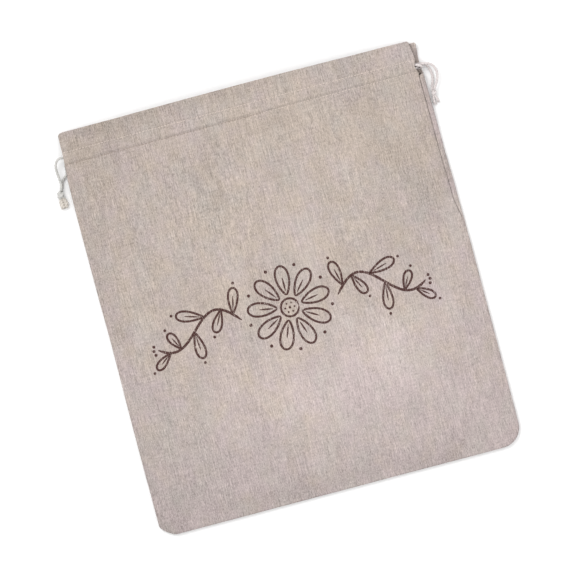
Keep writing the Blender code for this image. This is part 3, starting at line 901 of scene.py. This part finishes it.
def linen(name, ink=None):
    """Undyed linen: warp threads along the bag with slubs, weaker weft, a fine weave and soft blotches of hue."""
    n = Nodes(name)
    place = n.add("ShaderNodeTexCoord", output=3)
    x = n.add("ShaderNodeSeparateXYZ", {0: place}, output=0)
    y = n.add("ShaderNodeSeparateXYZ", {0: place}, output=1)
    threads = n.noise(place, (0.36, 9.0, 6.0), 1.0)
    short = n.noise(place, (0.33, 1.9, 3.0), 1.0, (7.3, 1.1, 0))
    slubs = n.noise(place, (1.3, 34.0, 9.0), 1.0, (3.7, 5.1, 0))
    weft = n.noise(place, (9.0, 1.1, 6.0), 2.0, (1.9, 8.3, 0))
    cloud = n.noise(place, (30.0, 42.0, 40.0), 3.0, (0.6, 2.2, 0))
    broad = n.noise(place, (110.0, 80.0, 60.0), 2.0, (4.6, 0.9, 0))
    blotch = n.noise(place, (17.0, 21.0, 30.0), 2.0, (2.6, 6.1, 0))
    # Painted light and shade: the cloth lighter where its swells catch the light and darker along its edges
    value = patches(n, x, y)
    for part, weight in ((threads, 0.92), (short, 1.32), (slubs, 0.32), (weft, 0.38), (cloud, 0.30)):
        value = n.math("ADD", value, n.math("MULTIPLY", n.math("SUBTRACT", part, 0.5), weight))
    hue = n.math("MULTIPLY_ADD", y, 2.2, 0.42)
    for patch in HUES:
        hue = n.math("MULTIPLY_ADD", bell(n, x, y, patch), patch.tone, hue)
    for part, weight in ((broad, 1.5), (blotch, 2.1)):
        hue = n.math("ADD", hue, n.math("MULTIPLY", n.math("SUBTRACT", part, 0.5), weight))
    hue = n.math("MULTIPLY", hue, 1.0, clamp=True)
    colour = n.colour_mix(hue, PINK_LINEN, BEIGE_LINEN)
    grey = n.noise(place, (22.0, 28.0, 30.0), 2.0, (8.1, 3.3, 0))
    grey = n.math("MULTIPLY_ADD", n.math("SUBTRACT", grey, 0.5), 2.2, 0.15, clamp=True)
    colour = n.colour_mix(grey, colour, GREY_LINEN)
    colour = n.scaled(colour, value)
    if ink:
        dry = n.math("ADD", n.math("MULTIPLY", threads, 0.5), n.math("MULTIPLY", short, 0.7))
        dry = n.math("MULTIPLY_ADD", dry, 5.0, -3.35, clamp=True)
        worn = n.colour_mix(dry, ink, colour)
        colour = n.colour_mix(0.96, colour, worn)
    weave = n.math(
        "MULTIPLY",
        n.math("SINE", n.math("MULTIPLY", x, 2 * math.pi / (1.5 * MM))),
        n.math("SINE", n.math("MULTIPLY", y, 2 * math.pi / (1.7 * MM))),
    )
    height = n.math("MULTIPLY", weave, 0.05)
    for part, weight in ((threads, 0.30), (short, 0.30), (slubs, 0.16), (weft, 0.22)):
        height = n.math("ADD", height, n.math("MULTIPLY", part, weight))
    fade = {"Value": x, "From Min": DENT_FADE_FROM, "From Max": DENT_FADE_TO, "To Min": 1.0, "To Max": DENT_RIGHT_SHARE}
    deep = n.add("ShaderNodeMapRange", fade, interpolation_type="SMOOTHSTEP")
    for dent in DENTS:
        off = n.math("MULTIPLY", n.math("SUBTRACT", y, HALF_LENGTH - dent.down), 1 / (0.9 * MM))
        near = n.math("EXPONENT", n.math("MULTIPLY", n.math("MULTIPLY", off, off), -1.0))
        beat = n.math("COSINE", n.math("MULTIPLY", x, 2 * math.pi / STITCH_PITCH))
        pull = n.math("MULTIPLY", n.math("MULTIPLY_ADD", beat, 0.5, 0.8), deep)
        height = n.math("SUBTRACT", height, n.math("MULTIPLY", near, n.math("MULTIPLY", pull, dent.depth / MM)))
    bump = n.add("ShaderNodeBump", {"Height": height, "Strength": 0.8, "Distance": 0.30 * MM})
    n.put(n.shader.inputs["Base Color"], colour)
    n.put(n.shader.inputs["Normal"], bump)
    n.shader.inputs["Roughness"].default_value = 0.92
    n.shader.inputs["Specular IOR Level"].default_value = 0.2
    n.shader.inputs["Sheen Weight"].default_value = 0.12
    n.shader.inputs["Sheen Roughness"].default_value = 0.6
    return n.material


def cotton(name, low, high):
    """Cotton cord or thread: fine fibres with a little unevenness of tone."""
    n = Nodes(name)
    place = n.add("ShaderNodeTexCoord", output=3)
    fibres = n.noise(place, (0.35, 0.9, 0.35), 3.0)
    patches = n.noise(place, (5.0, 5.0, 5.0), 1.0, (3.1, 0.4, 0))
    share = n.math("MULTIPLY_ADD", n.math("ADD", fibres, patches), 0.9, -0.4, clamp=True)
    n.put(n.shader.inputs["Base Color"], n.colour_mix(share, low, high))
    bump = n.add("ShaderNodeBump", {"Height": fibres, "Strength": 0.6, "Distance": 0.15 * MM})
    n.put(n.shader.inputs["Normal"], bump)
    n.shader.inputs["Roughness"].default_value = 0.9
    n.shader.inputs["Specular IOR Level"].default_value = 0.2
    n.shader.inputs["Sheen Weight"].default_value = 0.2
    return n.material


PINK_LINEN = srgb(172.4, 159.2, 157.4)
BEIGE_LINEN = srgb(172, 159.2, 149.0)
GREY_LINEN = srgb(168.5, 160.9, 155.0)
INK = srgb(60, 25, 22)

# Painted light and shade on the cloth: lighter patches where its swells catch the light, darker ones along its edges
# and corners, and a lighter one on the back's header strip in the front header's shade; middle and reach in
# millimetres, and tone
Patch = namedtuple("Patch", "across along reach_x reach_y tone")
PAINTED_LIGHT_PATCHES = (
    Patch(-10, -106, 44, 36, 0.14),
    Patch(66, -84, 30, 30, 0.15),
    Patch(110, -80, 50, 60, 0.09),
    Patch(-60, -86, 30, 28, 0.03),
    Patch(20, 50, 60, 60, 0.04),
    Patch(80, 110, 20, 44, 0.05),
    Patch(-152, 176, 60, 24, -0.10),
    Patch(-60, 197, 150, 11, -0.14),
    Patch(-135, 190, 60, 10, -0.09),
    Patch(0, 120, 240, 60, -0.03),
    Patch(-120, 110, 70, 70, -0.04),
    Patch(110, 152, 30, 28, -0.06),
    Patch(-10, -192, 200, 16, -0.10),
    Patch(-162, -150, 50, 60, -0.12),
    Patch(-168, 40, 32, 100, -0.09),
    Patch(152, 60, 30, 44, -0.04),
    Patch(-35, 150, 44, 26, -0.04),
    Patch(175, 186, 5, 18, 0.28),
    Patch(60, 192, 130, 9, -0.03),
    Patch(18, 172, 26, 16, 0.035),
    Patch(-50, 178, 26, 14, -0.04),
    Patch(-106, 18, 36, 22, -0.05),
    Patch(40, -50, 40, 26, 0.06),
    Patch(-35, -90, 34, 22, 0.055),
    Patch(95, -116, 40, 26, 0.035),
    Patch(125, -50, 28, 26, 0.03),
    Patch(160, -18, 20, 24, 0.025),
    Patch(160, -188, 28, 16, 0.035),
    Patch(-162, 125, 24, 40, -0.025),
    Patch(20, 177, 240, 9, -0.02),
    Patch(145, 190, 60, 12, -0.022),
)

# Places where the linen is more beige, or pinker where the tone is below zero
HUES = (
    Patch(-10, 20, 130, 120, 0.45),
    Patch(160, 188, 26, 14, -0.7),
    Patch(128, -150, 50, 40, -0.2),
    Patch(176, 115, 5, 60, -0.8),
)


def surface_tree(obj):
    """The shown surface of an object, for laying things on it."""
    graph = bpy.context.evaluated_depsgraph_get()
    return BVHTree.FromObject(obj, graph)


def drop_on(tree, across, along):
    """The highest point of a surface over a place, or None."""
    hit, normal, _, _ = tree.ray_cast(Vector((across, along, 0.1)), Vector((0, 0, -1)))
    return hit


def stitch_rows(name, tree, along, materials):
    """A row of short stitches laid on the cloth, with a last material where it has sunk in less, so that a darker first
    material paints shade where the row sinks deepest.
    """
    build = bmesh.new()
    for number, across in enumerate(spaced(STITCH_FROM, STITCH_TO, STITCH_PITCH)):
        lean = 0.12 * MM * noise.noise(Vector((number * 0.9, along * 90, 1.7)))
        points = []
        for share in (-0.5, -0.36, -0.12, 0.12, 0.36, 0.5):
            place = drop_on(tree, across + share * STITCH, along)
            sunk = 0.24 * MM * (abs(share) * 2) ** 3
            points.append(Vector((place.x, along + lean * share * 4, place.z + 0.06 * MM - sunk)))
        twisted(build, points, [0.12 * MM, THREAD, THREAD, THREAD, THREAD, 0.12 * MM], section=6, plies=False)
    for face in build.faces:
        over = face.calc_center_median().x > (DENT_FADE_FROM + DENT_FADE_TO) / 2
        face.material_index = int(over) * (len(materials) - 1)
    return finish_mesh(name, build, *materials)


def ribbon(build, tree, points, width, lift=0.05 * MM):
    """A printed line of a width laid on the cloth, thin at both ends."""
    left, right = [], []
    for number, point in enumerate(points):
        before, after = points[max(0, number - 1)], points[min(len(points) - 1, number + 1)]
        ahead = (after - before).normalized()
        out = Vector((-ahead.y, ahead.x))
        end = min(number, len(points) - 1 - number)
        half = width / 2 * (0.35 + 0.65 * min(1.0, end / 3))
        for edge, sign in ((left, 1), (right, -1)):
            place = point + out * half * sign
            hit = drop_on(tree, place.x, place.y)
            edge.append(build.verts.new((place.x, place.y, hit.z + lift)))
    for number in range(len(points) - 1):
        build.faces.new((right[number], right[number + 1], left[number + 1], left[number]))


def disc(build, tree, centre, radius, lift=0.05 * MM):
    """A printed dot."""
    ring = []
    for step in range(14):
        angle = 2 * math.pi * step / 14
        place = centre + Vector((math.cos(angle), math.sin(angle))) * radius
        ring.append(build.verts.new((place.x, place.y, drop_on(tree, place.x, place.y).z + lift)))
    build.faces.new(ring)


# The print: a blossom in the middle and a curling stem with round leaves and dots to each side
PRINT_MIDDLE = (-4.0 * MM, -18.0 * MM)
PRINT_LINE = 2.1 * MM
PETALS = 9
PETAL_FROM = 12.0 * MM
PETAL_LENGTH = 28.0 * MM
PETAL_WIDTH = 15.5 * MM
HEART_RADIUS = 8.6 * MM
STEM_FROM = 47.0 * MM
STEM_TO = 131.0 * MM
STEM_WAVE = 17.0 * MM
Leaf = namedtuple("Leaf", "share turn length width")
LEAVES = (
    Leaf(0.08, 60, 25.0 * MM, 12.5 * MM),
    Leaf(0.20, -84, 22.0 * MM, 11.5 * MM),
    Leaf(0.40, 52, 27.0 * MM, 13.0 * MM),
    Leaf(0.55, -50, 26.0 * MM, 12.5 * MM),
    Leaf(0.74, 84, 19.0 * MM, 10.5 * MM),
    Leaf(0.87, -52, 20.0 * MM, 10.0 * MM),
)


def leaf_line(base, heading, length, width, blunt):
    """The outline of a leaf or petal from its base round its tip, as one closed line."""
    ahead = Vector((math.cos(heading), math.sin(heading)))
    out = Vector((-ahead.y, ahead.x))
    points = []
    for step in range(37):
        angle = 2 * math.pi * step / 36
        share = (1 - math.cos(angle)) / 2
        bulge = math.sin(angle) * (share**blunt)
        points.append(base + ahead * length * share + out * width / 2 * bulge)
    return points


def print_stem(share, side):
    """A point of a side stem, and the way it runs."""
    reach = mix(STEM_FROM, STEM_TO, share)
    wave = STEM_WAVE * math.sin(share * 2 * math.pi * 0.9) * (1 - 0.25 * share)
    return Vector((side * reach, wave))


def print_lines():
    """The lines and dots of the print, each with its width or radius."""
    lines, dots = [], []
    middle = Vector(PRINT_MIDDLE)
    for petal in range(PETALS):
        heading = 2 * math.pi * (petal + 0.25) / PETALS
        ahead = Vector((math.cos(heading), math.sin(heading)))
        lines.append((leaf_line(middle + ahead * PETAL_FROM, heading, PETAL_LENGTH, PETAL_WIDTH, 0.35), PRINT_LINE))
        vein = [middle + ahead * mix(PETAL_FROM + 4 * MM, PETAL_FROM + 17 * MM, step / 8) for step in range(9)]
        lines.append((vein, 0.8 * PRINT_LINE))
        between = heading + math.pi / PETALS
        dots.append((middle + Vector((math.cos(between), math.sin(between))) * 40.5 * MM, 1.6 * MM))
    heart = []
    for step in range(33):
        angle = 2 * math.pi * step / 32
        heart.append(middle + Vector((math.cos(angle), math.sin(angle))) * HEART_RADIUS)
    lines.append((heart, PRINT_LINE))
    for step in range(6):
        angle = 2 * math.pi * step / 6
        dots.append((middle + Vector((math.cos(angle), math.sin(angle))) * 4.6 * MM, 0.95 * MM))
    dots.append((middle, 1.2 * MM))
    for side in (-1, 1):
        stem = [middle + print_stem(step / 60, side) for step in range(61)]
        lines.append((stem, 1.2 * PRINT_LINE))
        for leaf in LEAVES:
            base = middle + print_stem(leaf.share, side)
            ahead = print_stem(leaf.share + 0.01, side) - print_stem(leaf.share, side)
            heading = math.atan2(ahead.y, ahead.x) + math.radians(leaf.turn) * side
            lines.append((leaf_line(base, heading, leaf.length, leaf.width, 0.6), PRINT_LINE))
            along = Vector((math.cos(heading), math.sin(heading)))
            vein = [base + along * leaf.length * (0.18 + 0.52 * step / 8) for step in range(9)]
            lines.append((vein, 0.7 * PRINT_LINE))
            dots.append((base + along * (leaf.length + 4.6 * MM), 1.4 * MM))
        tip = middle + print_stem(1.0, side)
        for step in (-1, 0, 1):
            dots.append((tip + Vector((side * (4.2 - abs(step)) * MM, step * 4.0 * MM)), 1.5 * MM))
    return lines, dots


def print_on(tree, material):
    build = bmesh.new()
    lines, dots = print_lines()
    for points, width in lines:
        ribbon(build, tree, points, width)
    for centre, radius in dots:
        disc(build, tree, centre, radius)
    return finish_mesh("print", build, material)


def make_floor():
    n = Nodes("floor")
    n.shader.inputs["Base Color"].default_value = (0.9, 0.9, 0.9, 1)
    n.shader.inputs["Roughness"].default_value = 1.0
    bpy.ops.mesh.primitive_plane_add(size=6, location=(0, 0, -0.15 * MM))
    floor = bpy.context.object
    floor.name = "floor"
    floor.data.materials.append(n.material)


def area_light(name, place, size, power, colour=(1, 1, 1)):
    light = bpy.data.lights.new(name, "AREA")
    light.shape = "DISK"
    light.size = size
    light.energy = power
    light.color = colour
    obj = bpy.data.objects.new(name, light)
    obj.location = place
    obj.rotation_euler = Vector(place).to_track_quat("Z", "Y").to_euler()
    bpy.context.scene.collection.objects.link(obj)


# The sky's brightness at the horizon and overhead
SKY_LOW = 0.56
SKY_HIGH = 1.38


def light_and_camera():
    scene = bpy.context.scene
    world = bpy.data.worlds.new("studio")
    world.use_nodes = True
    tree = world.node_tree
    place = tree.nodes.new("ShaderNodeTexCoord")
    parts = tree.nodes.new("ShaderNodeSeparateXYZ")
    level = tree.nodes.new("ShaderNodeMapRange")
    for key, value in (("From Min", 0.0), ("From Max", 1.0), ("To Min", SKY_LOW), ("To Max", SKY_HIGH)):
        level.inputs[key].default_value = value
    tree.links.new(place.outputs["Generated"], parts.inputs[0])
    tree.links.new(parts.outputs["Z"], level.inputs["Value"])
    tree.links.new(level.outputs["Result"], tree.nodes["Background"].inputs["Strength"])
    tree.nodes["Background"].inputs["Color"].default_value = (1, 1, 1, 1)
    scene.world = world
    area_light("key", (-1.0, 1.6, 2.2), 1.4, 28)
    scene.view_settings.view_transform = "Standard"
    scene.view_settings.look = "None"
    camera = bpy.data.cameras.new("camera")
    camera.sensor_width = 36
    camera.lens = 36 * CAMERA_HEIGHT / (PIXEL * PICTURE)
    camera.clip_end = 20
    obj = bpy.data.objects.new("camera", camera)
    obj.location = (*CAMERA_AT, CAMERA_HEIGHT)
    obj.rotation_euler = (0, 0, CAMERA_TURN)
    scene.collection.objects.link(obj)
    scene.camera = obj


def main():
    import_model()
    cloth = linen("linen")
    ink = linen("printed_linen", INK)
    # The darker thread, used in the deeper left part of the lower row, is painted shade of the stitched dent
    thread = cotton("thread", srgb(128, 114, 105), srgb(158, 143, 133))
    pale_thread = cotton("pale_thread", srgb(203, 190, 180), srgb(225, 212, 202))
    # One cord cotton in two copies: darker and greyer for the left half and the left knot as painted shade, lighter and
    # pinker for the right half and the right knot as painted light
    shaded_grey_cotton = cotton("shaded_grey_cotton", srgb(172, 171, 168), srgb(210, 208, 204))
    lit_pink_cotton = cotton("lit_pink_cotton", srgb(198, 190, 189), srgb(228, 220, 218))
    frayed = cotton("frayed_cotton", srgb(188, 181, 173), srgb(216, 209, 200))
    front = cloth_sheet("front_cloth", FRONT, [cloth])
    back = cloth_sheet("back_cloth", BACK, [cloth])
    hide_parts("front_panel")
    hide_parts("back_panel")
    tree = surface_tree(front)
    upper = stitch_rows("upper_stitching", tree, HALF_LENGTH - UPPER_STITCH, [pale_thread])
    lower = stitch_rows("lower_stitching", tree, HALF_LENGTH - LOWER_STITCH, [thread, pale_thread])
    pattern = print_on(tree, ink)
    left_points = cord_route(-1, LEFT_OVER, LEFT_UNDER, in_metres(RIGHT_TURN), UPPER_LANE, LOWER_LANE)
    left_turn = turn_round(-1, LEFT_TURN, LOWER_LANE, UPPER_LANE)
    right_points = cord_route(1, RIGHT_OVER, RIGHT_UNDER, left_turn, LOWER_LANE, UPPER_LANE)
    left, left_route = cord_piece("cord_left", left_points, [shaded_grey_cotton, lit_pink_cotton])
    right, right_route = cord_piece("cord_right", right_points, [shaded_grey_cotton, lit_pink_cotton])
    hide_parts("drawcord_left")
    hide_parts("drawcord_right")
    knots = [knot_piece(KNOTS[0], shaded_grey_cotton, frayed), knot_piece(KNOTS[1], lit_pink_cotton, lit_pink_cotton)]
    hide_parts("knot_left")
    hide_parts("knot_right")
    for piece, slot in (
        (front, "linen"),
        (back, "linen"),
        (upper, "linen"),
        (lower, "linen"),
        (pattern, "linen"),
        (left, "cord"),
        (right, "cord"),
        (knots[0], "cord"),
        (knots[1], "cord"),
    ):
        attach(piece, "root")
    make_floor()
    light_and_camera()


main()
